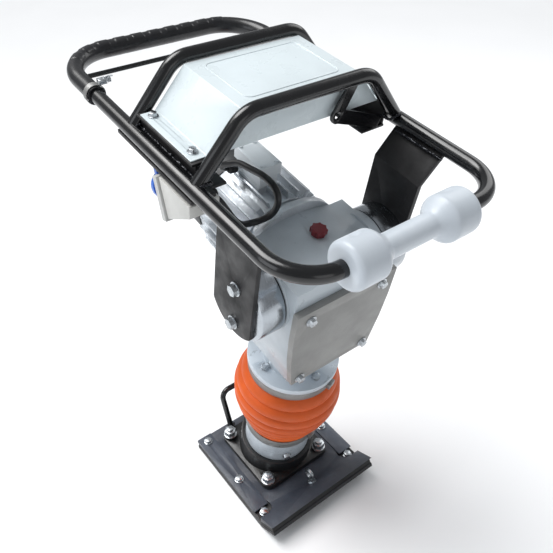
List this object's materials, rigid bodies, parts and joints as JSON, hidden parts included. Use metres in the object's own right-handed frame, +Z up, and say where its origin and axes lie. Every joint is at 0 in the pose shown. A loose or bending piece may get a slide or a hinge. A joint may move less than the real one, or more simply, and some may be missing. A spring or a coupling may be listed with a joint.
{
  "type": "jumping jack rammer",
  "caption": "Upright electric tamping rammer: flat shoe, ribbed bellows leg, finned motor and crankcase, tube guiding frame with hood, roller and rear handle.",
  "frame": {"origin": "point on the sole where the leg axis meets the ground", "axes": "+Z up, -Y towards the toe of the shoe and the roller, +X to the operator's right"},
  "size_m": [0.4134, 0.7069, 0.9559],
  "materials": {
    "frame_paint": "gloss",
    "plate_paint": "satin",
    "hood_paint": "satin",
    "cast_light": "satin",
    "cover_paint": "satin",
    "cast_black": "painted satin",
    "zinc": "zinc plated",
    "machined": "turned",
    "steel_dark": "ground",
    "alloy": "cast",
    "bronze": "turned",
    "copper": "wound",
    "deck_paint": "satin",
    "sole_steel": "worn",
    "board_black": "matte",
    "bellows_rubber": "satin",
    "rubber_black": "matte",
    "grip_rubber": "satin",
    "roller_plastic": "satin",
    "box_plastic": "matte",
    "blue_plastic": "gloss",
    "green_plastic": "gloss",
    "red_plastic": "gloss",
    "cap_red": "satin",
    "cable_rubber": "satin",
    "fan_plastic": "matte",
    "band_steel": "galvanised"
  },
  "bodies": {
    "foot": {"sole_plate": "sole_steel", "shoe_board": "board_black", "shoe_deck": "deck_paint", "shoe_strips": "deck_paint", "shoe_bolts": "zinc", "foot_casting": "cast_black", "foot_nuts": "zinc", "foot_cylinder": "machined", "drain_plug": "zinc", "lifting_bail": "frame_paint", "shoe_eye": "zinc", "spring_cylinder": "steel_dark", "spring_cap": "steel_dark", "lower_spring": "steel_dark", "upper_spring": "steel_dark", "bellows": "bellows_rubber", "lower_clamp": "band_steel"},
    "machine": {"guide_cylinder": "machined", "guide_bushes": "bronze", "upper_clamp": "band_steel", "crankcase": "cast_light", "front_cover": "cover_paint", "case_bolts": "zinc", "oil_cap": "cap_red", "ball_bearings": "steel_dark", "oil_seal": "rubber_black", "motor_flange": "alloy", "motor_housing": "alloy", "motor_rear_bell": "alloy", "fan_cover": "fan_plastic", "stator": "copper", "terminal_box": "alloy", "terminal_lid": "alloy", "buffer_rubbers": "rubber_black", "motor_cable": "cable_rubber"},
    "crank": {"crankshaft": "steel_dark", "crank_gear": "steel_dark"},
    "rotor": {"rotor_shaft": "steel_dark", "cooling_fan": "fan_plastic"},
    "conrod": {"connecting_rod": "steel_dark"},
    "ram": {"ram_rod": "steel_dark", "ram_piston": "steel_dark"},
    "handle": {"frame_loop": "frame_paint", "frame_hoops": "frame_paint", "mount_plates": "plate_paint", "lead_hook": "plate_paint", "side_plates": "plate_paint", "buffer_cups": "machined", "plate_bolts": "zinc", "hood": "hood_paint", "hood_bolts": "zinc", "grip_sleeve": "grip_rubber", "sleeve_clamp": "band_steel", "switch_box": "box_plastic", "switch_lid": "box_plastic", "mains_inlet": "blue_plastic"},
    "flap": {"inlet_flap": "blue_plastic"},
    "start": {"start_button": "green_plastic"},
    "stop": {"stop_button": "red_plastic"},
    "roller": {"roller": "roller_plastic"}
  },
  "joints": [
    {"name": "leg_slide", "type": "slide", "parent": "foot", "child": "machine", "axis": [0, -0.1908, 0.9816], "range_m": [0, 0.05], "deforming": ["bellows", "lower_spring", "upper_spring"]},
    {"name": "ram_slide", "type": "slide", "parent": "machine", "child": "ram", "axis": [0, -0.1908, 0.9816], "range_m": [0, 0.04], "deforming": ["lower_spring", "upper_spring"]},
    {"name": "crank_spin", "type": "hinge", "parent": "machine", "child": "crank", "pos_m": [0, -0.10609, 0.54578], "axis": [0, 0.9816, 0.1908], "continuous": true},
    {"name": "conrod_turn", "type": "hinge", "parent": "crank", "child": "conrod", "pos_m": [0, -0.10227, 0.52615], "axis": [0, 0.9816, 0.1908], "continuous": true},
    {"name": "rotor_spin", "type": "hinge", "parent": "machine", "child": "rotor", "pos_m": [0, -0.12021, 0.61843], "axis": [0, 0.9816, 0.1908], "continuous": true},
    {"name": "handle_rock", "type": "hinge", "parent": "machine", "child": "handle", "pos_m": [0, -0.12937, 0.62887], "axis": [1, 0, 0], "range_deg": [-3, 3], "stiffness_Nm_per_rad": 2500, "deforming": ["motor_cable"]},
    {"name": "roller_spin", "type": "hinge", "parent": "handle", "child": "roller", "pos_m": [0, -0.32101, 0.79852], "axis": [1, 0, 0], "continuous": true},
    {"name": "flap_hinge", "type": "hinge", "parent": "handle", "child": "flap", "pos_m": [-0.177, 0.01026, 0.81373], "axis": [1, 0, 0], "range_deg": [0, 90], "stiffness_Nm_per_rad": 0.04, "springref_deg": -20.05},
    {"name": "start_press", "type": "slide", "parent": "handle", "child": "start", "axis": [0, -0.982, 0.1891], "range_m": [0, 0.0025], "stiffness_N_per_m": 300, "springref_m": -0.001},
    {"name": "stop_press", "type": "slide", "parent": "handle", "child": "stop", "axis": [0, -0.982, 0.1891], "range_m": [0, 0.0025], "stiffness_N_per_m": 300, "springref_m": -0.001}
  ],
  "couplings": [
    {"joint": "rotor_spin", "follows": "crank_spin", "ratio": -3.3529},
    {"joint": "conrod_turn", "follows": "crank_spin", "ratio": -1}
  ]
}
